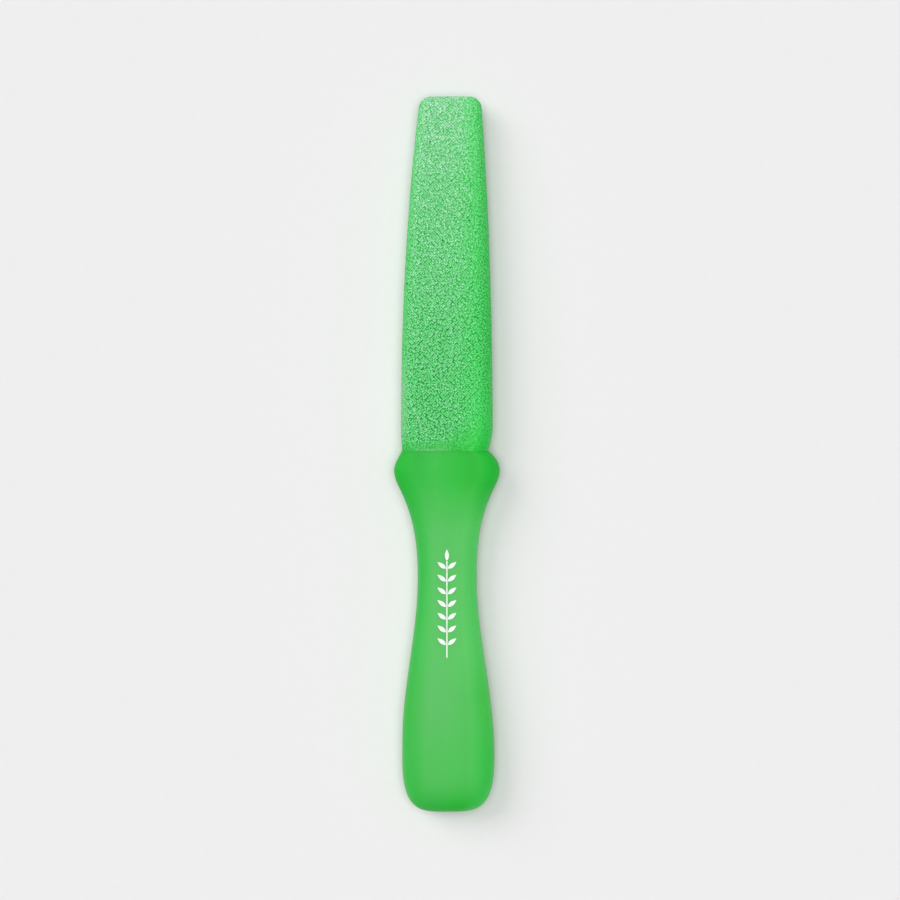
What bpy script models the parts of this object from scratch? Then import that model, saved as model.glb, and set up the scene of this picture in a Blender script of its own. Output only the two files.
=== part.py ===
"""Two-sided hand file with a moulded grip.

A rigid core carries a grit coat on its front and another on its back. The grip is moulded over
the core's tang, and flows through the tang's anchor holes. The file lies on its back: X runs
across it, Y runs from the butt to the tip, and Z is up. Lengths are in metres.
"""
import math

import bmesh
import bpy

# Whole file
LENGTH = 0.190
THICKNESS = 0.0096
GAP = 0.0003
TIP_Y = LENGTH / 2
BUTT_Y = -LENGTH / 2
MIDDLE_Z = THICKNESS / 2

LIP_Y = 0.0008

# Blade outline: each edge leaves the base half width and narrows towards the tip
BLADE_BASE_Y = LIP_Y + GAP
BLADE_LEFT = 0.01228
BLADE_RIGHT = 0.0122
LEFT_NARROWING = 0.00507
RIGHT_NARROWING = 0.00315
NARROWING_POWER = 2.3
TIP_CORNER = 0.0030

# Heel: how far each edge would turn in at the middle of the file, just below the blade's base
HEEL_LENGTH = 0.0080
HEEL_IN_LEFT = 0.00045
HEEL_IN_RIGHT = 0.00155

# Blade section: full depth near the heel, thinner to the tip, with round edges
BLADE_FULL_UNTIL = 0.030
TIP_DEPTH = 0.0023
DEPTH_POWER = 1.5
NOSE_DEPTH_SHARE = 0.5
EDGE_ROUND_SHARE = 0.9
COAT = 0.0005
CORE_INSET = COAT + GAP

# Tang inside the grip, and the holes that lock it there
TANG_END_Y = -0.074
TANG_ROOT_HALF_WIDTH = 0.0046
TANG_END_HALF_WIDTH = 0.0034
TANG_DEPTH = 0.0015
TANG_ROUND = 0.0008
ANCHOR_RADIUS = 0.0022
ANCHOR_YS = (-0.018, -0.039, -0.060)
PEG_ROOTING = 0.0008

# Grip at the lip, collar, shoulder, neck, start and end of the palm: place along Y,
# reach and slope of the left side, reach and slope of the right side, depth from the middle plane
GRIP_KNOTS = (
    (LIP_Y, 0.01195, -0.5, 0.01100, -1.2, 0.0048),
    (-0.0044, 0.0140, 0.0, 0.0140, 0.0, 0.0048),
    (-0.0105, 0.0119, 0.47, 0.0118, 0.46, 0.0048),
    (-0.0330, 0.00772, 0.0, 0.00785, 0.0, 0.0041),
    (-0.0660, 0.01125, -0.11, 0.01162, -0.12, 0.0048),
    (-0.0790, 0.01182, 0.0, 0.01256, 0.0, 0.0048),
)
GRIP_SPAN_STEPS = (5, 6, 9, 10, 4)
COLLAR_FLAT_SHARE = 0.62
GRIP_FLAT_SHARE = 0.34
FLAT_BLEND_END_Y = -0.024
GRIP_ROUND_POWER = 2.2

# Butt: the outline and the depth both close over this many rings
BUTT_STEPS = 12
BUTT_LAST_ANGLE = math.radians(87.5)
BUTT_SIDE_POWER = 1 / 4
BUTT_DEPTH_POWER = 1 / 3
BUTT_RUN_POWER = 3

# Mesh fineness
BLADE_STEPS = 16
TIP_STEPS = 6
EDGE_STEPS = 7
GRIP_QUARTER_STEPS = 9
HOLE_SIDES = 24


def clear_scene():
    for old in list(bpy.data.objects):
        bpy.data.objects.remove(old, do_unlink=True)


def make_material(name, color, roughness):
    material = bpy.data.materials.new(name)
    material.use_nodes = True
    shader = material.node_tree.nodes["Principled BSDF"]
    shader.inputs["Base Color"].default_value = (*color, 1.0)
    shader.inputs["Roughness"].default_value = roughness
    shader.inputs["Metallic"].default_value = 0.0
    return material


def arch(left, right, round_width, depth, power, steps):
    """Upper half of a section as (x, z), from the right side over the flat to the left side."""
    quarter = []
    for i in range(steps + 1):
        angle = math.pi / 2 * i / steps
        inward = round_width * (1 - abs(math.cos(angle)) ** (2 / power))
        quarter.append((inward, depth * math.sin(angle) ** (2 / power)))
    right_side = [(right - inward, up) for inward, up in quarter]
    left_side = [(left + inward, up) for inward, up in reversed(quarter)]
    return right_side + left_side


def whole_ring(upper_half):
    """Closes an arch with its mirror image below the middle plane."""
    lower_half = [(x, -z) for x, z in reversed(upper_half[1:-1])]
    return upper_half + lower_half


def lofted_mesh(name, stations, closed, below=False):
    """Skins sections given as (y, points); an open skin is capped at its last section only."""
    side = -1 if below else 1
    bm = bmesh.new()
    rings = []
    for y, points in stations:
        rings.append([bm.verts.new((x, y, MIDDLE_Z + side * z)) for x, z in points])
    count = len(rings[0])
    spans = count if closed else count - 1
    faces = []
    for near, far in zip(rings, rings[1:]):
        for i in range(spans):
            j = (i + 1) % count
            faces.append((near[i], far[i], far[j], near[j]))
    faces.append(tuple(reversed(rings[-1])))
    if closed:
        faces.append(tuple(rings[0]))
    for corners in faces:
        bm.faces.new(tuple(reversed(corners)) if below else corners)
    mesh = bpy.data.meshes.new(name)
    bm.to_mesh(mesh)
    bm.free()
    mesh.shade_smooth()
    mesh.set_sharp_from_angle(angle=math.radians(40))
    return mesh


def add_object(name, mesh, material=None):
    obj = bpy.data.objects.new(name, mesh)
    bpy.context.scene.collection.objects.link(obj)
    if material:
        mesh.materials.append(material)
    return obj


def add_cutter(name, mesh):
    cutter = add_object(name, mesh)
    cutter.hide_render = True
    cutter.display_type = "WIRE"
    return cutter


def cut_or_join(obj, tool, operation):
    boolean = obj.modifiers.new(tool.name, "BOOLEAN")
    boolean.operation = operation
    boolean.solver = "EXACT"
    boolean.object = tool


def heel_turn(y, amount):
    """How far an edge has turned in at y, for an edge that turns in by this amount at the base."""
    left_to_run = max(0.0, 1 - y / HEEL_LENGTH)
    return amount * left_to_run ** 2


def blade_edges(y):
    narrowing = (y / TIP_Y) ** NARROWING_POWER
    left = -(BLADE_LEFT - LEFT_NARROWING * narrowing) + heel_turn(y, HEEL_IN_LEFT)
    right = BLADE_RIGHT - RIGHT_NARROWING * narrowing - heel_turn(y, HEEL_IN_RIGHT)
    return left, right


def blade_depth(y):
    run = max(0.0, (y - BLADE_FULL_UNTIL) / (TIP_Y - BLADE_FULL_UNTIL))
    return THICKNESS / 2 - (THICKNESS / 2 - TIP_DEPTH) * run ** DEPTH_POWER


def blade_arch(y, corner_angle, inset):
    """Section of the blade, drawn in by inset; corner_angle turns it round the tip's corners."""
    left, right = blade_edges(y)
    corner_in = TIP_CORNER * (1 - math.cos(corner_angle))
    rise = math.sin(corner_angle)
    depth = blade_depth(y) * math.sqrt(1 - rise ** 2 * (1 - NOSE_DEPTH_SHARE ** 2))
    edge_round = EDGE_ROUND_SHARE * depth - inset
    points = arch(
        left + corner_in + inset,
        right - corner_in - inset,
        edge_round,
        depth - inset,
        2,
        EDGE_STEPS,
    )
    return y - inset * rise, points


def blade_arches(inset):
    """Upper halves of the blade's sections, from the heel to the tip."""
    corner_start = TIP_Y - TIP_CORNER
    arches = []
    for i in range(BLADE_STEPS):
        share = (i / BLADE_STEPS) ** 1.25
        y = BLADE_BASE_Y + (corner_start - BLADE_BASE_Y) * share
        arches.append(blade_arch(y, 0.0, inset))
    for i in range(TIP_STEPS + 1):
        angle = math.pi / 2 * i / TIP_STEPS
        arches.append(blade_arch(corner_start + TIP_CORNER * math.sin(angle), angle, inset))
    return arches


def tang_ring(y, spare):
    """Section of the tang at y, larger all round by spare."""
    run = (BLADE_BASE_Y - y) / (BLADE_BASE_Y - TANG_END_Y)
    half_width = TANG_ROOT_HALF_WIDTH + (TANG_END_HALF_WIDTH - TANG_ROOT_HALF_WIDTH) * run
    half_width += spare
    upper = arch(-half_width, half_width, TANG_ROUND + spare, TANG_DEPTH + spare, 2, EDGE_STEPS)
    return y, whole_ring(upper)


def post_mesh(name, y, radius, half_height):
    """A round post through the middle plane."""
    bm = bmesh.new()
    bmesh.ops.create_cone(
        bm,
        cap_ends=True,
        segments=HOLE_SIDES,
        radius1=radius,
        radius2=radius,
        depth=2 * half_height,
    )
    bmesh.ops.translate(bm, verts=bm.verts, vec=(0.0, y, MIDDLE_Z))
    mesh = bpy.data.meshes.new(name)
    bm.to_mesh(mesh)
    bm.free()
    return mesh


def make_core():
    blade = [(y, whole_ring(upper)) for y, upper in blade_arches(CORE_INSET)]
    tang = [tang_ring(TANG_END_Y, 0.0), tang_ring(BLADE_BASE_Y, 0.0)]
    mesh = lofted_mesh("blade_core", tang + blade, closed=True)
    core = add_object("blade_core", mesh, make_material("core", (0.06, 0.50, 0.09), 0.5))
    for i, y in enumerate(ANCHOR_YS):
        hole = post_mesh(f"anchor_hole_{i}", y, ANCHOR_RADIUS, 2 * TANG_DEPTH)
        cut_or_join(core, add_cutter(f"anchor_hole_{i}", hole), "DIFFERENCE")


def coat_arches():
    """Outer skin of one coat, which stops half a gap short of the middle plane."""
    stations = []
    for y, upper in blade_arches(0.0):
        depth = max(z for _, z in upper)
        lift = GAP / 2
        stations.append((y, [(x, lift + z * (depth - lift) / depth) for x, z in upper]))
    return stations


def make_coat(name, color, below):
    mesh = lofted_mesh(name, coat_arches(), closed=False, below=below)
    coat = add_object(name, mesh, make_material(name, color, 0.9))
    thicken = coat.modifiers.new("thickness", "SOLIDIFY")
    thicken.thickness = COAT
    thicken.offset = -1
    thicken.use_even_offset = True


def hermite(start, end, start_slope, end_slope, run, share):
    """Cubic from start to end over a signed run, with the given slopes at its ends."""
    settle = share * share * (3 - 2 * share)
    leave = share * (1 - share) ** 2 * run * start_slope
    arrive = share * share * (share - 1) * run * end_slope
    return start + (end - start) * settle + leave + arrive


def grip_ring(y, left, right, depth):
    """Section of the grip at y; the collar is flatter than the neck and the palm."""
    blend = min(1.0, (LIP_Y - y) / (LIP_Y - FLAT_BLEND_END_Y))
    ease = blend * blend * (3 - 2 * blend)
    flat_share = COLLAR_FLAT_SHARE + (GRIP_FLAT_SHARE - COLLAR_FLAT_SHARE) * ease
    round_width = (left + right) / 2 * (1 - flat_share)
    power = 2 + (GRIP_ROUND_POWER - 2) * blend
    upper = arch(-left, right, round_width, depth, power, GRIP_QUARTER_STEPS)
    return y, whole_ring(upper)


def grip_body_rings():
    """Sections from the lip down to the widest part of the palm."""
    rings = []
    for start, end, steps in zip(GRIP_KNOTS, GRIP_KNOTS[1:], GRIP_SPAN_STEPS):
        run = end[0] - start[0]
        for i in range(steps):
            share = i / steps
            left = hermite(start[1], end[1], start[2], end[2], run, share)
            right = hermite(start[3], end[3], start[4], end[4], run, share)
            depth = hermite(start[5], end[5], 0.0, 0.0, run, share)
            rings.append(grip_ring(start[0] + run * share, left, right, depth))
    return rings


def grip_butt_rings():
    """Sections that close the palm to a blunt rounded butt."""
    palm_y, left, _, right, _, depth = GRIP_KNOTS[-1]
    full_run = math.sin(BUTT_LAST_ANGLE) ** (2 / BUTT_RUN_POWER)
    rings = []
    for i in range(BUTT_STEPS + 1):
        angle = BUTT_LAST_ANGLE * i / BUTT_STEPS
        run = math.sin(angle) ** (2 / BUTT_RUN_POWER) / full_run
        closing = math.cos(angle) ** 2
        y = palm_y + (BUTT_Y - palm_y) * run
        side_share = closing ** BUTT_SIDE_POWER
        depth_share = closing ** BUTT_DEPTH_POWER
        rings.append(grip_ring(y, left * side_share, right * side_share, depth * depth_share))
    return rings


def make_grip():
    rings = list(reversed(grip_body_rings() + grip_butt_rings()))
    mesh = lofted_mesh("handle_grip", rings, closed=True)
    grip = add_object("handle_grip", mesh, make_material("grip", (0.05, 0.52, 0.08), 0.45))
    pocket_rings = [tang_ring(TANG_END_Y - GAP, GAP), tang_ring(BLADE_BASE_Y, GAP)]
    pocket = add_cutter("tang_pocket", lofted_mesh("tang_pocket", pocket_rings, closed=True))
    cut_or_join(grip, pocket, "DIFFERENCE")
    for i, y in enumerate(ANCHOR_YS):
        peg = post_mesh(f"anchor_peg_{i}", y, ANCHOR_RADIUS - GAP, TANG_DEPTH + GAP + PEG_ROOTING)
        cut_or_join(grip, add_cutter(f"anchor_peg_{i}", peg), "UNION")


def main():
    clear_scene()
    make_core()
    make_coat("front_coarse_coat", (0.17, 0.62, 0.24), below=False)
    make_coat("back_fine_coat", (0.20, 0.66, 0.28), below=True)
    make_grip()


main()
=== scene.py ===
"""Looks of a two-sided hand file: gritty coats, a silky moulded grip and a printed sprig.

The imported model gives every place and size. Its core stays, and its coats and grip are replaced
by finer meshes of the same outer shape. Lengths are in metres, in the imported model's frame.
"""
import itertools
import math
from collections import namedtuple

import bmesh
import bpy
import numpy as np
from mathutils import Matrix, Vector


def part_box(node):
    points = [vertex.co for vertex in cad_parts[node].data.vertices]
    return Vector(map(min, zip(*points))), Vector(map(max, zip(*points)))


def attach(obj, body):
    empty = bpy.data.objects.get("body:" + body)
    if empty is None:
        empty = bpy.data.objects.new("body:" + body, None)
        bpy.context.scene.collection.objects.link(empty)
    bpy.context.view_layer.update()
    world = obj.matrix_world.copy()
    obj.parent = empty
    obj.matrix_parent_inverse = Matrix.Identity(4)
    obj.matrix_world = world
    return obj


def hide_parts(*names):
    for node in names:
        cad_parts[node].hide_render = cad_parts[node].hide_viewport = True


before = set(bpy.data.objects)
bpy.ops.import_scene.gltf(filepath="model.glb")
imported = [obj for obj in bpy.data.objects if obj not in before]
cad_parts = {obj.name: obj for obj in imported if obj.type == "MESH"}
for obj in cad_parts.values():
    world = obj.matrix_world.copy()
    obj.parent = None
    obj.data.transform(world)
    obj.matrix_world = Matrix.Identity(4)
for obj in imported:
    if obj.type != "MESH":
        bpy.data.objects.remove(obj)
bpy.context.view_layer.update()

MM = 0.001


def srgb(red, green, blue):
    """Linear colour of an 8-bit display colour."""
    channels = []
    for value in (red, green, blue):
        share = value / 255
        channels.append(share / 12.92 if share <= 0.04045 else ((share + 0.055) / 1.055) ** 2.4)
    return (*channels, 1.0)


def grey(level):
    return (level, level, level, 1.0)


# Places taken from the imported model
COAT_LOW, COAT_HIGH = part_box("front_coarse_coat")
GRIP_LOW, GRIP_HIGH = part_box("handle_grip")
MIDDLE_Z = (GRIP_LOW.z + GRIP_HIGH.z) / 2
FULL_DEPTH = (GRIP_HIGH.z - GRIP_LOW.z) / 2
TIP_Y = COAT_HIGH.y
LIP_Y = GRIP_HIGH.y
BUTT_Y = GRIP_LOW.y
BLADE_LEFT = -COAT_LOW.x
BLADE_RIGHT = COAT_HIGH.x

# Blade shape, as in the CAD model
LEFT_NARROWING = 5.07 * MM
RIGHT_NARROWING = 3.15 * MM
NARROWING_POWER = 2.3
HEEL_LENGTH = 8.0 * MM
HEEL_IN_LEFT = 0.45 * MM
HEEL_IN_RIGHT = 1.55 * MM
TIP_CORNER = 3.0 * MM
TIP_DEPTH = 2.3 * MM
THINNING_START_Y = 30 * MM
THINNING_POWER = 1.5
EDGE_ROUND_SHARE = 0.9
NOSE_POWER = 0.6
COAT_THICKNESS = 0.5 * MM

# Rounded sides of a section: this power makes them quarter ellipses
ELLIPSE_POWER = 2

# Coat mesh: the skirt runs down into the grip, and the inner skin is coarser by the stride
ARCH_STEPS = 24
GIRTH_STEPS = 96
COAT_SPACING = 0.19 * MM
COAT_SKIRT = 0.9 * MM
SKIRT_SINK = 0.2 * MM
SEAM_HALF_GAP = 0.04 * MM
INNER_STRIDE = 4
INNER_SKIN_VALUE = 0.5
GRID_JITTER = 0.28
TINY = 1e-12

# Each coat's grit. Side is 1 on the front and -1 on the back. Spacing, radius and relief are those
# of the mesh's grains, crystal is the size of the material's, and marks is the share of the marks
# of use that shows.
Grit = namedtuple("Grit", "side spacing radius relief crystal marks seed")
FRONT_GRIT = Grit(1, 0.44 * MM, 0.27 * MM, 0.11 * MM, 0.53 * MM, marks=1.0, seed=11)
BACK_GRIT = Grit(-1, 0.36 * MM, 0.21 * MM, 0.08 * MM, 0.38 * MM, marks=0.0, seed=12)

# Mesh grains: faceted crystals, one to a cell, of as many kinds as the table holds. A facet lies
# between the two reaches, as shares of the radius, and a crystal is off its cell's middle by up to
# the offset, as a share of the spacing.
GRAIN_FACETS = 8
GRAIN_TABLE = 4096
GRAIN_REACH = (0.55, 1.0)
GRAIN_OFFSET = 0.35
GRAIN_MIN_FACING = 0.12
GRAIN_STAND = 0.5
GRAIN_DEEPEST = 0.07 * MM
CELL_PRIMES = (73856093, 19349663, 83492791)

# Where the grit changes: stretches across the blade, from -1 at its left edge to 1 at its right,
# and stretches up from the lip. The losses and shares say how much it changes there.
# The grit thins out above the grip, over these lengths at the two edges
HEEL_FADE_LEFT = 3.6 * MM
HEEL_FADE_RIGHT = 13 * MM
HEEL_FADE_ACROSS = (-0.4, 1.0)
# The grains stand out less at the edges, low down on the right and at the lip
CRUST_EDGES = (0.85, 1.0)
CRUST_EDGES_LOSS = 0.3
CRUST_RIGHT = (0.2, 0.9)
CRUST_RIGHT_UP = (12 * MM, 30 * MM)
CRUST_RIGHT_LOSS = 0.4
CRUST_AT_LIP = 0.3
# The grit is greener on the right, at the left edge and at the lip
COVER_RIGHT = (0.05, 1.0)
COVER_RIGHT_LOSS = 0.68
COVER_LEFT = (0.8, 1.0)
COVER_LEFT_LOSS = 0.48
COVER_AT_LIP = 0.2
# A painted whitish reflection lies along the lower left edge, and a whitish powder in a frayed
# line at the lip
REFLECTION_EDGE = (0.8, 0.97)
REFLECTION_START = (1 * MM, 7 * MM)
REFLECTION_MAIN_END = (17 * MM, 26 * MM)
REFLECTION_MAIN_SHARE = 0.25
REFLECTION_TAIL_END = (26 * MM, 46 * MM)
REFLECTION_TAIL_SHARE = 0.06
FRAY_UP = (0.2 * MM, 0.9 * MM)
FRAY_LEFT = (-0.85, -0.6)
FRAY_RIGHT = (-0.2, 0.2)
FRAY_SHARE = 0.15

# Marks of use on the front: a short pale scratch, and dark specks where grains have come out
SCRATCH_START = (-7.8 * MM, 10.0 * MM)
SCRATCH_END = (-6.8 * MM, 6.7 * MM)
SCRATCH_HALF_WIDTH = 0.25 * MM
SCRATCH_FULL_SHARE = 0.3
SCRATCH_POWDER = 0.6
SPECKS = (
    (-1.2 * MM, 56.5 * MM),
    (5.9 * MM, 61.8 * MM),
    (-10.6 * MM, 45.2 * MM),
    (-4.5 * MM, 82.7 * MM),
)
SPECK_RADIUS = 0.34 * MM
SPECK_FULL_SHARE = 0.4

# Crystals' share of the surface along the blade, and how strongly a crystal of each tone shows
PALE_SHARE = ((0.0, grey(0.13)), (0.35, grey(0.155)), (0.75, grey(0.17)), (1.0, grey(0.198)))
GRAIN_GAIN = ((0.0, grey(0.22)), (0.5, grey(0.32)), (0.8, grey(0.42)), (1.0, grey(0.72)))
GAIN_SCALE = 7.0
MOST_PALENESS = 0.95

# Crystals in the material: how irregularly they lie, and how much of a crystal's tone is the mesh
# grain's. A crystal fades out from its centre, the bed between crystals is paler towards the tip,
# and the gaps between crystals get painted shade, darker towards the heel. Reaches and the bump
# are shares of a crystal's size.
# Paler crystals shine more, and the powder and the painted reflection are patchy.
CRYSTAL_SCATTER = 0.68
MESH_TONE_SHARE = 0.15
CRYSTAL_REACH = (0.1, 0.5)
BED_ALONG = (0.3, 1.0)
BED_PALENESS = (0.15, 0.5)
GAP_SHADE_REACH = (0.38, 0.7)
GAP_SHADE_HEEL_TO_TIP = (1.0, 0.38)
CRYSTAL_BUMP = 0.25
CRYSTAL_BUMP_STRENGTH = 0.5
GLINT_TONES = (0.3, 0.8)
GLINT_ROUGHNESS = (0.7, 0.35)
PATCH_SCALE = 1600.0
PATCH_LEVELS = (0.35, 0.6)
PATCH_COVER = (0.35, 1.0)

# Colours of the grit: the resin from the left to the right edge, on the open blade and at the
# heel, with painted light that brightens its right edge and, at the heel, a painted sheen left of
# the middle; then the crystals at the heel and the tip, the painted shade in the gaps, the powder
# and painted reflection, and the specks
RESIN_TINTS_WITH_PAINTED_LIGHT = (
    (0.0, srgb(38, 198, 66)),
    (0.5, srgb(42, 200, 68)),
    (0.8, srgb(42, 211, 74)),
    (1.0, srgb(44, 224, 80)),
)
HEEL_TINTS_WITH_PAINTED_LIGHT = (
    (0.05, srgb(20, 182, 50)),
    (0.38, srgb(38, 187, 54)),
    (0.6, srgb(12, 186, 38)),
    (0.8, srgb(16, 200, 46)),
    (0.97, srgb(44, 222, 80)),
)
HEEL_CRYSTAL = srgb(204, 252, 238)
TIP_CRYSTAL = srgb(214, 242, 234)
GAP_SHADE_GREEN = srgb(16, 124, 48)
POWDER_AND_REFLECTION_WHITE = srgb(200, 222, 204)
SPECK_GREEN = srgb(24, 92, 50)

# Grip shape at the lip, collar, shoulder, neck, start and end of the palm, as in the CAD model:
# rise from the lip (below it is negative), reach and slope of the left side, the same of the right
# side, depth
Knot = namedtuple("Knot", "rise left left_slope right right_slope depth")
GRIP_KNOTS = (
    Knot(0.0 * MM, 11.95 * MM, -0.5, 11.0 * MM, -1.2, 4.8 * MM),
    Knot(-5.2 * MM, 14.0 * MM, 0.0, 14.0 * MM, 0.0, 4.8 * MM),
    Knot(-11.3 * MM, 11.9 * MM, 0.47, 11.8 * MM, 0.46, 4.8 * MM),
    Knot(-33.8 * MM, 7.72 * MM, 0.0, 7.85 * MM, 0.0, 4.1 * MM),
    Knot(-66.8 * MM, 11.25 * MM, -0.11, 11.62 * MM, -0.12, 4.8 * MM),
    Knot(-79.8 * MM, 11.82 * MM, 0.0, 12.56 * MM, 0.0, 4.8 * MM),
)
GRIP_SPAN_ROWS = (18, 20, 48, 70, 26)
BUTT_ROWS = 60
BUTT_LAST_ANGLE = math.radians(88.5)
BUTT_RUN_POWER = 3
BUTT_SIDE_POWER = 1 / 4
BUTT_DEPTH_POWER = 1 / 3
GRIP_QUARTER_COLUMNS = 40
COLLAR_FLAT_SHARE = 0.62
GRIP_FLAT_SHARE = 0.34
FLAT_BLEND_LENGTH = 24.8 * MM
GRIP_ROUND_POWER = 2.2
PARTING_RIDGE = 0.05 * MM
SHARP_ANGLE = math.radians(50)

# Tints of the grip from its left to its right edge, at the collar, the neck, the palm and the
# butt; each after the first comes in over a stretch along the grip. Besides the plastic's green
# they carry painted light: a paler middle that is a painted sheen, and a brighter right edge
# that is painted light lifting its shade
COLLAR_TINTS_WITH_PAINTED_LIGHT = (
    (0.05, srgb(0, 177, 38)),
    (0.2, srgb(22, 181, 50)),
    (0.38, srgb(47, 190, 64)),
    (0.6, srgb(20, 188, 47)),
    (0.75, srgb(2, 181, 30)),
    (0.97, srgb(8, 200, 50)),
)
NECK_TINTS_WITH_PAINTED_LIGHT = (
    (0.05, srgb(44, 182, 66)),
    (0.2, srgb(63, 187, 76)),
    (0.5, srgb(63, 188, 74)),
    (0.7, srgb(63, 190, 74)),
    (0.85, srgb(90, 210, 100)),
    (0.97, srgb(84, 226, 102)),
)
PALM_TINTS_WITH_PAINTED_LIGHT = (
    (0.05, srgb(50, 180, 62)),
    (0.3, srgb(66, 183, 76)),
    (0.5, srgb(62, 185, 73)),
    (0.7, srgb(46, 184, 59)),
    (0.85, srgb(66, 201, 77)),
    (0.97, srgb(74, 215, 83)),
)
BUTT_TINTS_WITH_PAINTED_LIGHT = (
    (0.05, srgb(52, 181, 66)),
    (0.3, srgb(42, 183, 60)),
    (0.5, srgb(38, 185, 54)),
    (0.7, srgb(24, 184, 46)),
    (0.85, srgb(54, 200, 73)),
    (0.97, srgb(56, 213, 79)),
)
LOWER_TINTS_WITH_PAINTED_LIGHT = (
    ((-8 * MM, -20 * MM), NECK_TINTS_WITH_PAINTED_LIGHT),
    ((-52 * MM, -64 * MM), PALM_TINTS_WITH_PAINTED_LIGHT),
    ((-68 * MM, -80 * MM), BUTT_TINTS_WITH_PAINTED_LIGHT),
)

# Grip plastic: a large cloud and a fine mottle in its colour, a finish that is rougher at the
# collar than below it, a satin texture, and the depth and colours of the light that enters it
CLOUD_SCALE = 55.0
CLOUD_LEVELS = (0.3, 0.7)
CLOUD_SHARE = 0.08
CLOUD_GREEN = srgb(90, 210, 104)
MOTTLE_SCALE = 1400.0
MOTTLE_LEVELS = (0.35, 0.65)
MOTTLE_SHARE = 0.05
MOTTLE_GREEN = srgb(20, 150, 50)
FINISH_ALONG = (-24 * MM, -6 * MM)
FINISH_ROUGHNESS = (0.46, 0.68)
SATIN_SCALE = 9000.0
SATIN_DEPTH = 0.01 * MM
SATIN_STRENGTH = 0.5
GLOW_DEPTH = 4 * MM
GLOW_COLORS = (0.3, 1.0, 0.4)

# Core plastic and printing ink, each between two colours
CORE_SCALE = 90.0
CORE_LEVELS = (0.3, 0.7)
CORE_GREENS = (srgb(36, 150, 52), srgb(44, 164, 60))
CORE_GRAIN_SCALE = 4000.0
INK_SCALE = 1500.0
INK_LEVELS = (0.25, 0.5)
INK_WHITES = (srgb(200, 232, 203), srgb(240, 248, 240))

# Tang pocket in the grip
POCKET_END_Y = -74.3 * MM
POCKET_HALF_WIDTH = 4.9 * MM
POCKET_END_HALF_WIDTH = 3.7 * MM
POCKET_HALF_DEPTH = 1.8 * MM
POCKET_ROUND = 1.1 * MM

# Printed sprig on the grip's front; the bare top is a share of the space between two pairs
SPRIG_TOP_Y = -25.3 * MM
SPRIG_BOTTOM_Y = -53.8 * MM
STEM_HALF_WIDTH = 0.16 * MM
STEM_POINTS = 40
LEAF_PAIRS = 7
LEAF_LENGTH = 3.0 * MM
LEAF_HALF_WIDTH = 0.55 * MM
LEAF_POINTS = 13
LEAF_SWELL_POWER = 0.85
LEAF_ANGLE = math.radians(52)
SIDE_LEAF_LENGTH = 0.95 * LEAF_LENGTH
SIDE_LEAF_START = 1.6 * STEM_HALF_WIDTH
TOP_LEAF_DROP = 0.97 * LEAF_LENGTH
BARE_TOP_SHARE = 0.6
INK_HEIGHT = 0.02 * MM
INK_ROOT = 0.15 * MM


def smooth_step(low, high, value):
    """Nought up to low, one from high on, and a soft rise between them."""
    run = np.clip((value - low) / (high - low), 0.0, 1.0)
    return run * run * (3 - 2 * run)


def add_mesh(name, vertices, faces, smooth):
    mesh = bpy.data.meshes.new(name)
    mesh.from_pydata(vertices, [], faces)
    bm = bmesh.new()
    bm.from_mesh(mesh)
    bmesh.ops.recalc_face_normals(bm, faces=bm.faces)
    bm.to_mesh(mesh)
    bm.free()
    mesh.polygons.foreach_set("use_smooth", [smooth] * len(mesh.polygons))
    piece = bpy.data.objects.new(name, mesh)
    bpy.context.scene.collection.objects.link(piece)
    return piece


def arch(left, right, round_width, depth, power, steps):
    """Upper half of a section as (x, z) rows, from the right side over the flat to the left."""
    angle = np.linspace(0, math.pi / 2, steps + 1)
    inward = round_width * (1 - np.abs(np.cos(angle)) ** (2 / power))
    up = depth * np.sin(angle) ** (2 / power)
    right_side = np.column_stack((right - inward, up))
    left_side = np.column_stack((left + inward, up))[::-1]
    return np.vstack((right_side, left_side))


def evenly(points, count):
    """The line through points, read at count + 1 evenly spaced places."""
    steps = np.linalg.norm(np.diff(points, axis=0), axis=1)
    along = np.concatenate(([0.0], np.cumsum(steps)))
    places = np.linspace(0.0, along[-1], count + 1)
    return np.column_stack([np.interp(places, along, points[:, k]) for k in (0, 1)])


# ---------------------------------------------------------------- blade coats


def blade_edges(y):
    """(left, right) x of the blade's edges at y, before its corners turn round the nose."""
    y = max(y, 0.0)
    narrowing = (y / TIP_Y) ** NARROWING_POWER
    turn = max(0.0, 1 - y / HEEL_LENGTH) ** 2
    left = -(BLADE_LEFT - LEFT_NARROWING * narrowing) + HEEL_IN_LEFT * turn
    right = BLADE_RIGHT - RIGHT_NARROWING * narrowing - HEEL_IN_RIGHT * turn
    return left, right


def blade_depth(y):
    run = max(0.0, (y - THINNING_START_Y) / (TIP_Y - THINNING_START_Y))
    return FULL_DEPTH - (FULL_DEPTH - TIP_DEPTH) * run ** THINNING_POWER


def coat_row(y, corner_angle, inset, columns):
    """One row of a coat's skin, drawn in by inset; corner_angle turns it round the nose."""
    left, right = blade_edges(y)
    corner_in = TIP_CORNER * (1 - math.cos(corner_angle))
    depth = blade_depth(y) * abs(math.cos(corner_angle)) ** NOSE_POWER
    depth = max(depth - inset - sink_at(y), SEAM_HALF_GAP)
    edge_round = EDGE_ROUND_SHARE * depth
    left, right = left + corner_in + inset, right - corner_in - inset
    points = arch(left, right, edge_round, depth, ELLIPSE_POWER, ARCH_STEPS)
    points[:, 1] = SEAM_HALF_GAP + points[:, 1] * (depth - SEAM_HALF_GAP) / depth
    line = evenly(points, columns)
    ys = np.full(columns + 1, y - inset * math.sin(corner_angle))
    return np.column_stack((line[:, 0], ys, line[:, 1]))


def sink_at(y):
    """How far the skirt has sunk into the grip at y."""
    return SKIRT_SINK * max(0.0, (LIP_Y - y) / COAT_SKIRT)


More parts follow.
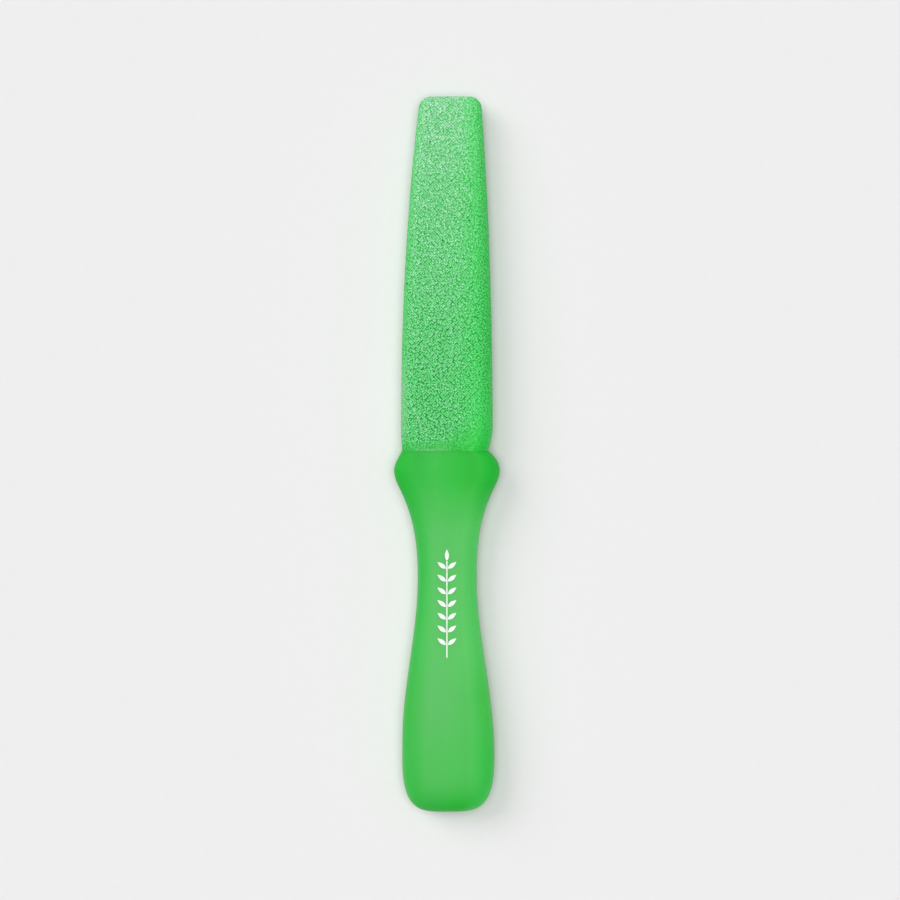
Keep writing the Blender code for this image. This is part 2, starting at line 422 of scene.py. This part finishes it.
def coat_steps(length):
    """How many steps a length of the outer skin takes, in whole strides of the inner skin."""
    return INNER_STRIDE * round(length / COAT_SPACING / INNER_STRIDE)


def coat_rows():
    """(y, corner angle) of each row of the outer skin, from the skirt to the tip."""
    corner_start = TIP_Y - TIP_CORNER
    skirt_y = LIP_Y - COAT_SKIRT
    straight = coat_steps(corner_start - skirt_y)
    nose = coat_steps(TIP_CORNER * math.pi / 2)
    rows = [(y, 0.0) for y in np.linspace(skirt_y, corner_start, straight + 1)]
    for angle in np.linspace(0.0, math.pi / 2, nose + 1)[1:]:
        rows.append((corner_start + TIP_CORNER * math.sin(angle), angle))
    return rows


def coat_columns():
    """How many columns a skin has, from its girth at the grip's lip."""
    heel = coat_row(LIP_Y, 0.0, 0.0, GIRTH_STEPS)
    return coat_steps(np.linalg.norm(np.diff(heel, axis=0), axis=1).sum())


def skin(rows, inset, columns):
    """Grid of a coat's points, drawn in from its outer shape by inset."""
    return np.array([coat_row(y, angle, inset, columns) for y, angle in rows])


def jittered(points, rng):
    """Inner points of a grid, each moved a little within the surface."""
    along = np.zeros_like(points)
    across = np.zeros_like(points)
    along[1:-1, 1:-1] = (points[2:, 1:-1] - points[:-2, 1:-1]) / 2
    across[1:-1, 1:-1] = (points[1:-1, 2:] - points[1:-1, :-2]) / 2
    shift = rng.uniform(-GRID_JITTER, GRID_JITTER, (2, *points.shape[:2], 1))
    return points + along * shift[0] + across * shift[1]


def grid_normals(points):
    along = np.gradient(points, axis=0)
    across = np.gradient(points, axis=1)
    normals = np.cross(along, across)
    return normals / np.maximum(np.linalg.norm(normals, axis=2, keepdims=True), TINY)


def grain_kinds(radius, rng):
    """Random crystals: facets' directions and distances from the centre, tone, and offset."""
    facets = rng.normal(size=(GRAIN_TABLE, GRAIN_FACETS // 2, 3))
    facets /= np.linalg.norm(facets, axis=2, keepdims=True)
    facets = np.concatenate((facets, -facets), axis=1)
    reaches = radius * rng.uniform(*GRAIN_REACH, (GRAIN_TABLE, GRAIN_FACETS))
    tones = rng.uniform(0.0, 1.0, GRAIN_TABLE)
    offsets = rng.uniform(-GRAIN_OFFSET, GRAIN_OFFSET, (GRAIN_TABLE, 3))
    return facets, reaches, tones, offsets


def grain_relief(points, normals, spacing, radius, rng):
    """Height of the highest crystal facet over each point, and that crystal's own tone."""
    facets, reaches, tones, offsets = grain_kinds(radius, rng)
    cells = np.floor(points / spacing).astype(np.int64)
    height = np.full(len(points), -np.inf)
    tone = np.zeros(len(points))
    for step in itertools.product((-1, 0, 1), repeat=3):
        cell = cells + np.array(step)
        kind = (cell @ np.array(CELL_PRIMES)) % GRAIN_TABLE
        centre = (cell + 0.5 + offsets[kind]) * spacing
        facing = np.einsum("nkj,nj->nk", facets[kind], normals)
        spare = reaches[kind] - np.einsum("nkj,nj->nk", facets[kind], points - centre)
        with np.errstate(divide="ignore", invalid="ignore"):
            level = spare / facing
        above = np.where(facing > GRAIN_MIN_FACING, level, np.inf).min(axis=1)
        below = np.where(facing < -GRAIN_MIN_FACING, level, -np.inf).max(axis=1)
        beside = np.where(np.abs(facing) <= GRAIN_MIN_FACING, spare, np.inf).min(axis=1)
        depth = np.einsum("nj,nj->n", points - centre, normals)
        bedded = (depth > 0) & (depth < spacing)
        hit = bedded & (above > below) & (beside > 0) & np.isfinite(above) & (above > height)
        height = np.where(hit, above, height)
        tone = np.where(hit, tones[kind], tone)
    return height, tone


def closed_shell_faces(rows, columns, stride):
    """Faces of a fine outer grid, a coarse inner grid, and the rim that joins their borders."""
    inner_columns = columns // stride
    inner_rows = rows // stride
    inner_start = (rows + 1) * (columns + 1)

    def outer(r, c):
        return r * (columns + 1) + c

    def inner(r, c):
        return inner_start + r * (inner_columns + 1) + c

    def quads(index, row_count, column_count):
        for r in range(row_count):
            for c in range(column_count):
                yield index(r, c), index(r + 1, c), index(r + 1, c + 1), index(r, c + 1)

    def border(index, row_count, column_count):
        loop = [index(0, c) for c in range(column_count)]
        loop += [index(r, column_count) for r in range(row_count)]
        loop += [index(row_count, c) for c in range(column_count, 0, -1)]
        loop += [index(r, 0) for r in range(row_count, 0, -1)]
        return loop

    faces = list(quads(outer, rows, columns))
    faces += [tuple(reversed(face)) for face in quads(inner, inner_rows, inner_columns)]
    fine = border(outer, rows, columns)
    coarse = border(inner, inner_rows, inner_columns)
    for k, start in enumerate(coarse):
        end = coarse[(k + 1) % len(coarse)]
        fan = [fine[(k * stride + i) % len(fine)] for i in range(stride + 1)]
        middle = stride // 2
        faces += [(start, fan[i + 1], fan[i]) for i in range(middle)]
        faces.append((start, end, fan[middle]))
        faces += [(end, fan[i + 1], fan[i]) for i in range(middle, stride)]
    return faces


def unrolled(points):
    """Places on the coat laid out flat, turned so that no row of grains follows an edge."""
    steps = np.linalg.norm(np.diff(points[..., (0, 2)], axis=1), axis=2)
    run = np.concatenate((np.zeros((len(points), 1)), np.cumsum(steps, axis=1)), axis=1)
    run = run - run[:, -1:] / 2
    middle_line = points[:, points.shape[1] // 2]
    strides = np.linalg.norm(np.diff(middle_line, axis=0), axis=1)
    along = np.concatenate(([0.0], np.cumsum(strides)))[:, None] + np.zeros_like(run)
    return np.stack((run + along, along - run, np.zeros_like(run)), axis=2) / math.sqrt(2)


def across_share(points):
    """Where points lie across the blade: -1 at its left edge, 1 at its right."""
    narrowing = np.clip(points[..., 1] / TIP_Y, 0, 1) ** NARROWING_POWER
    left = LEFT_NARROWING * narrowing - BLADE_LEFT
    right = BLADE_RIGHT - RIGHT_NARROWING * narrowing
    return np.clip((2 * points[..., 0] - left - right) / (right - left), -1, 1)


def heel_fade(across, above_lip):
    """One on the open blade, nought at the lip; the fade is longest on the right."""
    longer = (HEEL_FADE_RIGHT - HEEL_FADE_LEFT) * smooth_step(*HEEL_FADE_ACROSS, across)
    return smooth_step(0.0, 1.0, above_lip / (HEEL_FADE_LEFT + longer))


def crust_strength(across, above_lip):
    """How far the grains stand out: less at the edges and where the blade meets the grip."""
    edges = smooth_step(*CRUST_EDGES, np.abs(across))
    low_right = smooth_step(*CRUST_RIGHT, across) * (1 - smooth_step(*CRUST_RIGHT_UP, above_lip))
    open_part = CRUST_AT_LIP + (1 - CRUST_AT_LIP) * heel_fade(across, above_lip)
    return (1 - CRUST_EDGES_LOSS * edges) * (1 - CRUST_RIGHT_LOSS * low_right) * open_part


def pale_cover(across, above_lip):
    """How pale the grit is: the resin's green shows more and more towards the right edge."""
    right_side = smooth_step(*COVER_RIGHT, across)
    left_edge = smooth_step(*COVER_LEFT, -across)
    open_part = COVER_AT_LIP + (1 - COVER_AT_LIP) * heel_fade(across, above_lip)
    return (1 - COVER_RIGHT_LOSS * right_side) * (1 - COVER_LEFT_LOSS * left_edge) * open_part


def reflection_and_powder_cover(across, above_lip):
    """Painted whitish reflection on the lower left edge, and a frayed powder line where grit ends.
    """
    edge = smooth_step(*REFLECTION_EDGE, -across) * smooth_step(*REFLECTION_START, above_lip)
    main_part = 1 - smooth_step(*REFLECTION_MAIN_END, above_lip)
    tail = 1 - smooth_step(*REFLECTION_TAIL_END, above_lip)
    frayed_end = 1 - smooth_step(*FRAY_UP, above_lip)
    frayed_side = (1 - smooth_step(*FRAY_RIGHT, across)) * smooth_step(*FRAY_LEFT, across)
    edge_reflection = edge * (REFLECTION_MAIN_SHARE * main_part + REFLECTION_TAIL_SHARE * tail)
    return edge_reflection + FRAY_SHARE * frayed_end * frayed_side


def scratch_cover(points):
    """One along the scratch's middle, nought beside it."""
    start, end = np.array(SCRATCH_START), np.array(SCRATCH_END)
    place_on_face = points[..., :2] - start
    share = np.clip(place_on_face @ (end - start) / ((end - start) @ (end - start)), 0, 1)
    beside = np.linalg.norm(place_on_face - share[..., None] * (end - start), axis=-1)
    return 1 - smooth_step(SCRATCH_FULL_SHARE, 1.0, beside / SCRATCH_HALF_WIDTH)


def speck_cover(points):
    """One in the middle of each dark speck, nought beside it."""
    gaps = [np.linalg.norm(points[..., :2] - np.array(speck), axis=-1) for speck in SPECKS]
    return 1 - smooth_step(SPECK_FULL_SHARE, 1.0, np.min(gaps, axis=0) / SPECK_RADIUS)


def grained(points, crust, grit, rng):
    """The skin with grains standing out by the crust's share, and the tone of each one's grain."""
    normals = grid_normals(points)
    flat_points, flat_normals = points.reshape(-1, 3), normals.reshape(-1, 3)
    height, tone = grain_relief(flat_points, flat_normals, grit.spacing, grit.radius, rng)
    height = np.clip(GRAIN_STAND * height.reshape(crust.shape), -GRAIN_DEEPEST, grit.relief)
    height = grit.relief * (1 - crust) + height * crust
    height[[0, -1]] = 0.0
    height[:, [0, -1]] = 0.0
    return points + normals * height[..., None], tone


def coat_fields(outer, tone, across, above_lip, crust, marks):
    """What the grit's material reads at each point of the outer skin."""
    scratch = SCRATCH_POWDER * marks * scratch_cover(outer)
    return {
        "tone": tone,
        "across": across,
        "crust": crust,
        "cover": pale_cover(across, above_lip),
        "open_blade": heel_fade(across, above_lip),
        "powder_and_reflection": np.maximum(reflection_and_powder_cover(across, above_lip), scratch),
        "speck": marks * speck_cover(outer),
    }


def make_coat(name, node, grit):
    """One grit coat: a closed shell with a grained outer skin and a plain inner one."""
    rng = np.random.default_rng(grit.seed)
    rows = coat_rows()
    columns = coat_columns()
    plain = skin(rows, grit.relief, columns)
    layout = unrolled(plain)
    plain = jittered(plain, rng)
    across = across_share(plain)
    above_lip = plain[..., 1] - LIP_Y
    crust = crust_strength(across, above_lip)
    outer, tone = grained(plain, crust, grit, rng)
    inner = skin(rows[::INNER_STRIDE], COAT_THICKNESS, columns // INNER_STRIDE)
    vertices = np.vstack((outer.reshape(-1, 3), inner.reshape(-1, 3)))
    vertices[:, 2] = MIDDLE_Z + grit.side * vertices[:, 2]
    faces = closed_shell_faces(len(rows) - 1, columns, INNER_STRIDE)
    coat = add_mesh(name, vertices, faces, smooth=False)
    fields = coat_fields(outer, tone, across, above_lip, crust, grit.marks)
    inner_values = np.full(len(vertices) - tone.size, INNER_SKIN_VALUE)
    for field, values in fields.items():
        set_attribute(coat, field, np.concatenate((values.ravel(), inner_values)))
    set_layout(coat, np.vstack((layout.reshape(-1, 3), inner.reshape(-1, 3))))
    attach(coat, "root")
    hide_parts(node)
    return coat


def set_attribute(piece, name, values):
    attribute = piece.data.attributes.new(name, "FLOAT", "POINT")
    attribute.data.foreach_set("value", np.asarray(values, dtype=np.float32))


def set_layout(piece, places):
    attribute = piece.data.attributes.new("layout", "FLOAT_VECTOR", "POINT")
    attribute.data.foreach_set("vector", places.astype(np.float32).ravel())


# ---------------------------------------------------------------- grip


def hermite(start, end, start_slope, end_slope, run, share):
    """Cubic from start to end over a signed run, with the given slopes at its ends."""
    settle = share * share * (3 - 2 * share)
    leave = share * (1 - share) ** 2 * run * start_slope
    arrive = share * share * (share - 1) * run * end_slope
    return start + (end - start) * settle + leave + arrive


def grip_profile():
    """(y, left reach, right reach, depth) of each row of the grip, from the lip to the butt."""
    rows = []
    for start, end, count in zip(GRIP_KNOTS, GRIP_KNOTS[1:], GRIP_SPAN_ROWS):
        run = end.rise - start.rise
        for share in np.arange(count) / count:
            left = hermite(start.left, end.left, start.left_slope, end.left_slope, run, share)
            right = hermite(start.right, end.right, start.right_slope, end.right_slope, run, share)
            depth = hermite(start.depth, end.depth, 0.0, 0.0, run, share)
            rows.append((LIP_Y + start.rise + run * share, left, right, depth))
    palm = GRIP_KNOTS[-1]
    palm_y = LIP_Y + palm.rise
    full_run = math.sin(BUTT_LAST_ANGLE) ** (2 / BUTT_RUN_POWER)
    for angle in np.linspace(0, BUTT_LAST_ANGLE, BUTT_ROWS + 1):
        run = math.sin(angle) ** (2 / BUTT_RUN_POWER) / full_run
        closing = math.cos(angle) ** 2
        side_share = closing ** BUTT_SIDE_POWER
        depth_share = closing ** BUTT_DEPTH_POWER
        y = palm_y + (BUTT_Y - palm_y) * run
        rows.append((y, palm.left * side_share, palm.right * side_share, palm.depth * depth_share))
    return rows


def grip_ring(y, left, right, depth):
    """One ring of the grip; it is flatter at the collar than below it."""
    blend = min(1.0, (LIP_Y - y) / FLAT_BLEND_LENGTH)
    ease = blend * blend * (3 - 2 * blend)
    flat_share = COLLAR_FLAT_SHARE + (GRIP_FLAT_SHARE - COLLAR_FLAT_SHARE) * ease
    power = ELLIPSE_POWER + (GRIP_ROUND_POWER - ELLIPSE_POWER) * blend
    round_width = (left + right) / 2 * (1 - flat_share)
    upper = arch(-left, right, round_width, depth, power, GRIP_QUARTER_COLUMNS)
    return closed_ring(upper, y)


def closed_ring(upper, y):
    """A ring of points at y: the upper half of a section and its mirror image below."""
    lower = upper[-2:0:-1] * (1, -1)
    ring = np.vstack((upper, lower))
    return np.column_stack((ring[:, 0], np.full(len(ring), y), ring[:, 1] + MIDDLE_Z))


def pocket_ring(y, half_width):
    steps = GRIP_QUARTER_COLUMNS
    upper = arch(-half_width, half_width, POCKET_ROUND, POCKET_HALF_DEPTH, ELLIPSE_POWER, steps)
    return closed_ring(upper, y)


def tube_faces(ring_count, columns):
    """Faces of the walls between a row of rings, and one at each end."""
    faces = []
    for r in range(ring_count - 1):
        for c in range(columns):
            d = (c + 1) % columns
            near, far = r * columns, (r + 1) * columns
            faces.append((near + c, far + c, far + d, near + d))
    faces.append(tuple(range(columns)))
    faces.append(tuple(range(ring_count * columns - 1, (ring_count - 1) * columns - 1, -1)))
    return faces


def make_grip():
    """The grip from its butt up to its lip, then down the walls of the tang's pocket."""
    rings = [grip_ring(*row) for row in reversed(grip_profile())]
    left_side = 2 * GRIP_QUARTER_COLUMNS + 1
    for ring in rings:
        ring[0, 0] += PARTING_RIDGE
        ring[left_side, 0] -= PARTING_RIDGE
    rings.append(pocket_ring(LIP_Y, POCKET_HALF_WIDTH))
    rings.append(pocket_ring(POCKET_END_Y, POCKET_END_HALF_WIDTH))
    columns = len(rings[0])
    across = [2 * (ring[:, 0] - ring[:, 0].min()) / np.ptp(ring[:, 0]) - 1 for ring in rings]
    grip = add_mesh("grip_body", np.vstack(rings), tube_faces(len(rings), columns), smooth=True)
    set_attribute(grip, "across", np.concatenate(across))
    grip.data.set_sharp_from_angle(angle=SHARP_ANGLE)
    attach(grip, "root")
    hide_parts("handle_grip")
    return grip


# ---------------------------------------------------------------- printed sprig


def grip_front_height(y):
    """Height of the grip's flat front above the floor at y."""
    rows = np.array(grip_profile())
    return MIDDLE_Z + np.interp(-y, -rows[:, 0], rows[:, 3])


def ink_patch(outline, vertices, faces):
    """A flat printed shape: its outline goes up a hair above the grip, and down into it."""
    outline = np.asarray(outline)
    level = grip_front_height(outline[:, 1])
    start = len(vertices)
    count = len(outline)
    vertices.extend(np.column_stack((outline, level + INK_HEIGHT)))
    vertices.extend(np.column_stack((outline, level - INK_ROOT)))
    faces.append(tuple(range(start, start + count)))
    faces.append(tuple(range(start + 2 * count - 1, start + count - 1, -1)))
    for i in range(count):
        j = (i + 1) % count
        faces.append((start + j, start + i, start + count + i, start + count + j))


def leaf_outline(root, angle, length, half_width):
    """A pointed oval from root, leaning by angle from the stem's direction."""
    share = np.linspace(0.0, 1.0, LEAF_POINTS)
    swell = half_width * np.sin(math.pi * share ** LEAF_SWELL_POWER)
    along = np.concatenate((share * length, (share * length)[-2:0:-1]))
    aside = np.concatenate((swell, -swell[-2:0:-1]))
    x = root[0] + along * math.sin(angle) + aside * math.cos(angle)
    y = root[1] + along * math.cos(angle) - aside * math.sin(angle)
    return np.column_stack((x, y))


def make_sprig():
    """A stem with pairs of leaves up its sides and one leaf on its top."""
    vertices, faces = [], []
    stem_top_y = SPRIG_TOP_Y - LEAF_LENGTH
    stem_ys = np.linspace(SPRIG_BOTTOM_Y, stem_top_y, STEM_POINTS)
    stem = [(STEM_HALF_WIDTH, y) for y in stem_ys] + [(-STEM_HALF_WIDTH, y) for y in stem_ys[::-1]]
    ink_patch(stem, vertices, faces)
    pair_spacing = (stem_top_y - SPRIG_BOTTOM_Y) / (LEAF_PAIRS + BARE_TOP_SHARE)
    for pair in range(1, LEAF_PAIRS + 1):
        root_y = SPRIG_BOTTOM_Y + pair_spacing * pair
        for side in (1, -1):
            root = (side * SIDE_LEAF_START, root_y)
            leaf = leaf_outline(root, side * LEAF_ANGLE, SIDE_LEAF_LENGTH, LEAF_HALF_WIDTH)
            ink_patch(leaf, vertices, faces)
    top = leaf_outline((0.0, SPRIG_TOP_Y - TOP_LEAF_DROP), 0.0, LEAF_LENGTH, LEAF_HALF_WIDTH)
    ink_patch(top, vertices, faces)
    sprig = add_mesh("printed_sprig", vertices, faces, smooth=False)
    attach(sprig, "root")
    return sprig


# ---------------------------------------------------------------- material nodes


def plug(tree, value, socket):
    """Links another node's output to the socket, or sets the socket to a constant."""
    if isinstance(value, bpy.types.NodeSocket):
        tree.links.new(value, socket)
    else:
        socket.default_value = value


def add_node(tree, kind, inputs, **settings):
    node = tree.nodes.new(kind)
    for key, value in settings.items():
        setattr(node, key, value)
    for key, value in inputs.items():
        plug(tree, value, node.inputs[key])
    return node


def new_material(name, sockets):
    """A material with these constants on its shader, with its node tree and its shader."""
    material = bpy.data.materials.new(name)
    material.use_nodes = True
    tree = material.node_tree
    shader = tree.nodes["Principled BSDF"]
    for key, value in sockets.items():
        shader.inputs[key].default_value = value
    return material, tree, shader


def mix_color(tree, factor, first, second):
    """A colour mix; sockets 6, 7 and 2 are the colour ones of a Mix node."""
    node = tree.nodes.new("ShaderNodeMix")
    node.data_type = "RGBA"
    plug(tree, factor, node.inputs[0])
    plug(tree, first, node.inputs[6])
    plug(tree, second, node.inputs[7])
    return node.outputs[2]


def ramp(tree, factor, stops):
    """A colour ramp; each stop is (position, colour)."""
    node = add_node(tree, "ShaderNodeValToRGB", {"Fac": factor})
    elements = node.color_ramp.elements
    while len(elements) < len(stops):
        elements.new(1.0)
    for element, (position, color) in zip(elements, stops):
        element.position = position
        element.color = color
    return node.outputs["Color"]


def span(tree, value, low, high, to_low=0.0, to_high=1.0):
    inputs = {"Value": value, "From Min": low, "From Max": high, "To Min": to_low, "To Max": to_high}
    return add_node(tree, "ShaderNodeMapRange", inputs, clamp=True).outputs["Result"]


def place(tree):
    return add_node(tree, "ShaderNodeTexCoord", {}).outputs["Object"]


def noise(tree, position, scale, detail=3.0, roughness=0.5):
    inputs = {"Vector": position, "Scale": scale, "Detail": detail, "Roughness": roughness}
    return add_node(tree, "ShaderNodeTexNoise", inputs).outputs["Fac"]


def attribute(tree, name, output="Fac"):
    return add_node(tree, "ShaderNodeAttribute", {}, attribute_name=name).outputs[output]


def bump(tree, height, distance, strength=1.0):
    inputs = {"Height": height, "Distance": distance, "Strength": strength}
    return add_node(tree, "ShaderNodeBump", inputs).outputs["Normal"]


def add_math(tree, operation, first, second):
    """A Math node's result; either value may be a number or another node's output."""
    node = add_node(tree, "ShaderNodeMath", {}, operation=operation)
    plug(tree, first, node.inputs[0])
    plug(tree, second, node.inputs[1])
    return node.outputs[0]


def times(tree, first, second):
    return add_math(tree, "MULTIPLY", first, second)


def plus(tree, first, second):
    return add_math(tree, "ADD", first, second)


def axis_of(tree, position, axis):
    return add_node(tree, "ShaderNodeSeparateXYZ", {"Vector": position}).outputs[axis]


def crystal_cells(tree, crystal):
    """Each crystal's tone, and how far a point lies from its centre, as a share of its size."""
    places = attribute(tree, "layout", "Vector")
    inputs = {"Vector": places, "Scale": 1 / crystal, "Randomness": CRYSTAL_SCATTER}
    cells = add_node(tree, "ShaderNodeTexVoronoi", inputs, voronoi_dimensions="2D")
    colors = add_node(tree, "ShaderNodeSeparateColor", {"Color": cells.outputs["Color"]})
    mesh_part = times(tree, attribute(tree, "tone"), MESH_TONE_SHARE)
    cell_part = times(tree, colors.outputs["Red"], 1 - MESH_TONE_SHARE)
    return plus(tree, mesh_part, cell_part), cells.outputs["Distance"]


def crystal_paleness(tree, tone, from_centre, along):
    """How much of the resin's green the crystals hide."""
    crystal_part = span(tree, from_centre, *CRYSTAL_REACH, 1.0, 0.0)
    bed_part = span(tree, along, *BED_ALONG, *BED_PALENESS)
    gain = times(tree, ramp(tree, tone, GRAIN_GAIN), plus(tree, crystal_part, bed_part))
    share = times(tree, ramp(tree, along, PALE_SHARE), attribute(tree, "cover"))
    paleness = times(tree, times(tree, gain, GAIN_SCALE), share)
    return add_math(tree, "MINIMUM", paleness, MOST_PALENESS)


def grit_material(name, crystal):
    """Pale crystals bedded in a green resin, with painted shade in the gaps between them."""
    material, tree, shader = new_material(name, {"Specular IOR Level": 0.3})
    position = place(tree)
    crust = attribute(tree, "crust")
    along = span(tree, axis_of(tree, position, "Y"), LIP_Y, TIP_Y)
    across = span(tree, attribute(tree, "across"), -1.0, 1.0)
    tone, from_centre = crystal_cells(tree, crystal)
    # The resin's tints carry painted light on the right edge, and a painted sheen at the heel
    heel_resin_painted_light, open_resin_painted_light = ramp(tree, across, HEEL_TINTS_WITH_PAINTED_LIGHT), ramp(tree, across, RESIN_TINTS_WITH_PAINTED_LIGHT)
    resin = mix_color(tree, attribute(tree, "open_blade"), heel_resin_painted_light, open_resin_painted_light)
    crystals = mix_color(tree, along, HEEL_CRYSTAL, TIP_CRYSTAL)
    paleness = crystal_paleness(tree, tone, from_centre, along)
    bedded = mix_color(tree, paleness, resin, crystals)
    # Painted shade in the hollows between crystals, deeper where the grains stand out more
    gap_shade_along = span(tree, along, 0.0, 1.0, *GAP_SHADE_HEEL_TO_TIP)
    gap_shade = times(tree, span(tree, from_centre, *GAP_SHADE_REACH), gap_shade_along)
    gap_shaded = mix_color(tree, times(tree, gap_shade, crust), bedded, GAP_SHADE_GREEN)
    # The powder mix also lays the painted whitish reflection along the lower left edge
    patches = span(tree, noise(tree, position, PATCH_SCALE, 4.0, 0.7), *PATCH_LEVELS, *PATCH_COVER)
    patched_whites = mix_color(tree, times(tree, patches, attribute(tree, "powder_and_reflection")), gap_shaded, POWDER_AND_REFLECTION_WHITE)
    marked = mix_color(tree, attribute(tree, "speck"), patched_whites, SPECK_GREEN)
    plug(tree, marked, shader.inputs["Base Color"])
    plug(tree, span(tree, tone, *GLINT_TONES, *GLINT_ROUGHNESS), shader.inputs["Roughness"])
    drop = times(tree, from_centre, crust)
    relief = bump(tree, drop, -CRYSTAL_BUMP * crystal, CRYSTAL_BUMP_STRENGTH)
    plug(tree, relief, shader.inputs["Normal"])
    return material


def grip_material():
    """Silky plastic that light enters a little, tinted with painted sheen and light along and
    across.
    """
    sockets = {"Specular IOR Level": 0.45, "Subsurface Weight": 0.5, "Subsurface Scale": GLOW_DEPTH}
    material, tree, shader = new_material("silky_green", sockets)
    shader.inputs["Subsurface Radius"].default_value = GLOW_COLORS
    position = place(tree)
    along = axis_of(tree, position, "Y")
    across = span(tree, attribute(tree, "across"), -1.0, 1.0)
    # The tints paint a sheen on the middle and light on the shaded right edge
    tint = ramp(tree, across, COLLAR_TINTS_WITH_PAINTED_LIGHT)
    for stretch, stops in LOWER_TINTS_WITH_PAINTED_LIGHT:
        tint = mix_color(tree, span(tree, along, *stretch), tint, ramp(tree, across, stops))
    cloud = span(tree, noise(tree, position, CLOUD_SCALE, 4.0), *CLOUD_LEVELS, 0.0, CLOUD_SHARE)
    clouded = mix_color(tree, cloud, tint, CLOUD_GREEN)
    mottle = span(tree, noise(tree, position, MOTTLE_SCALE, 2.0), *MOTTLE_LEVELS, 0.0, MOTTLE_SHARE)
    body = mix_color(tree, mottle, clouded, MOTTLE_GREEN)
    plug(tree, body, shader.inputs["Base Color"])
    plug(tree, span(tree, along, *FINISH_ALONG, *FINISH_ROUGHNESS), shader.inputs["Roughness"])
    satin = noise(tree, position, SATIN_SCALE, 2.0)
    plug(tree, bump(tree, satin, SATIN_DEPTH, SATIN_STRENGTH), shader.inputs["Normal"])
    return material


def core_material():
    """Plain moulded plastic, a little cloudy."""
    material, tree, shader = new_material("core_green", {"Roughness": 0.5})
    position = place(tree)
    cloud = span(tree, noise(tree, position, CORE_SCALE), *CORE_LEVELS)
    plug(tree, mix_color(tree, cloud, *CORE_GREENS), shader.inputs["Base Color"])
    texture = noise(tree, position, CORE_GRAIN_SCALE)
    plug(tree, bump(tree, texture, SATIN_DEPTH, SATIN_STRENGTH), shader.inputs["Normal"])
    return material


def ink_material():
    """White ink that covers the green unevenly."""
    material, tree, shader = new_material("white_ink", {"Roughness": 0.5})
    cover = span(tree, noise(tree, place(tree), INK_SCALE, 4.0), *INK_LEVELS)
    plug(tree, mix_color(tree, cover, *INK_WHITES), shader.inputs["Base Color"])
    return material


def wear(piece, material):
    piece.data.materials.clear()
    piece.data.materials.append(material)


# ---------------------------------------------------------------- stage


# Camera: what it sees across at the object's middle height, its lens, and how far it stands off
# the object's origin
FRAME_WIDTH = 239.2 * MM
CAMERA_LENS = 120.0
SENSOR_WIDTH = 36.0
CAMERA_OFFSET = (0.82 * MM, 1.06 * MM)
CLIP_NEAR = 0.01
CLIP_FAR = 20.0

# Floor
FLOOR_HALF_SIZE = 3.0
PAPER_SCALE = 400.0
PAPER_GREYS = (grey(0.79), grey(0.81))

# Lights: name, strength, the angle that the source fills, and the direction it shines from
STUDIO_LIGHTS = (
    ("overhead", 1.75, math.radians(48), Vector((0.02, 0.0, 1.0))),
    ("window", 1.4, math.radians(40), Vector((-0.82, 0.57, 0.7))),
)

# Soft dome of light round the object, and the plain backdrop that the camera sees
HORIZON_LIGHT = grey(0.12)
ZENITH_LIGHT = grey(0.34)
DOME_RISE = (0.1, 0.95)
BACKDROP = grey(0.86)


def make_camera():
    """A long lens, looking straight down."""
    data = bpy.data.cameras.new("camera")
    data.lens = CAMERA_LENS
    data.sensor_width = SENSOR_WIDTH
    data.clip_start = CLIP_NEAR
    data.clip_end = CLIP_FAR
    camera = bpy.data.objects.new("camera", data)
    bpy.context.scene.collection.objects.link(camera)
    distance = FRAME_WIDTH * CAMERA_LENS / SENSOR_WIDTH
    camera.location = (*CAMERA_OFFSET, MIDDLE_Z + distance)
    bpy.context.scene.camera = camera


def make_floor():
    half = FLOOR_HALF_SIZE
    corners = [(-half, -half, 0.0), (half, -half, 0.0), (half, half, 0.0), (-half, half, 0.0)]
    floor = add_mesh("floor", corners, [(0, 1, 2, 3)], smooth=False)
    sockets = {"Roughness": 0.9, "Specular IOR Level": 0.0}
    material, tree, shader = new_material("pale_paper", sockets)
    fibres = noise(tree, place(tree), PAPER_SCALE)
    plug(tree, mix_color(tree, fibres, *PAPER_GREYS), shader.inputs["Base Color"])
    wear(floor, material)


def make_lights():
    for name, strength, angle, source in STUDIO_LIGHTS:
        data = bpy.data.lights.new(name, "SUN")
        data.energy = strength
        data.angle = angle
        light = bpy.data.objects.new(name, data)
        bpy.context.scene.collection.objects.link(light)
        light.rotation_euler = source.to_track_quat("Z", "Y").to_euler()


def make_world():
    """A soft dome, brightest overhead; the camera itself sees a plain pale backdrop."""
    world = bpy.data.worlds.new("studio")
    bpy.context.scene.world = world
    world.use_nodes = True
    tree = world.node_tree
    background = tree.nodes["Background"]
    direction = add_node(tree, "ShaderNodeTexCoord", {}).outputs["Generated"]
    height = axis_of(tree, direction, "Z")
    dome = mix_color(tree, span(tree, height, *DOME_RISE), HORIZON_LIGHT, ZENITH_LIGHT)
    seen = add_node(tree, "ShaderNodeLightPath", {}).outputs["Is Camera Ray"]
    shown = mix_color(tree, seen, dome, BACKDROP)
    plug(tree, shown, background.inputs["Color"])


def main():
    front = make_coat("front_grit", "front_coarse_coat", FRONT_GRIT)
    back = make_coat("back_grit", "back_fine_coat", BACK_GRIT)
    grip = make_grip()
    sprig = make_sprig()
    wear(front, grit_material("coarse_crystals", FRONT_GRIT.crystal))
    wear(back, grit_material("fine_crystals", BACK_GRIT.crystal))
    wear(grip, grip_material())
    wear(sprig, ink_material())
    wear(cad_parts["blade_core"], core_material())
    make_camera()
    make_floor()
    make_lights()
    make_world()
    bpy.context.scene.view_settings.view_transform = "Standard"


main()
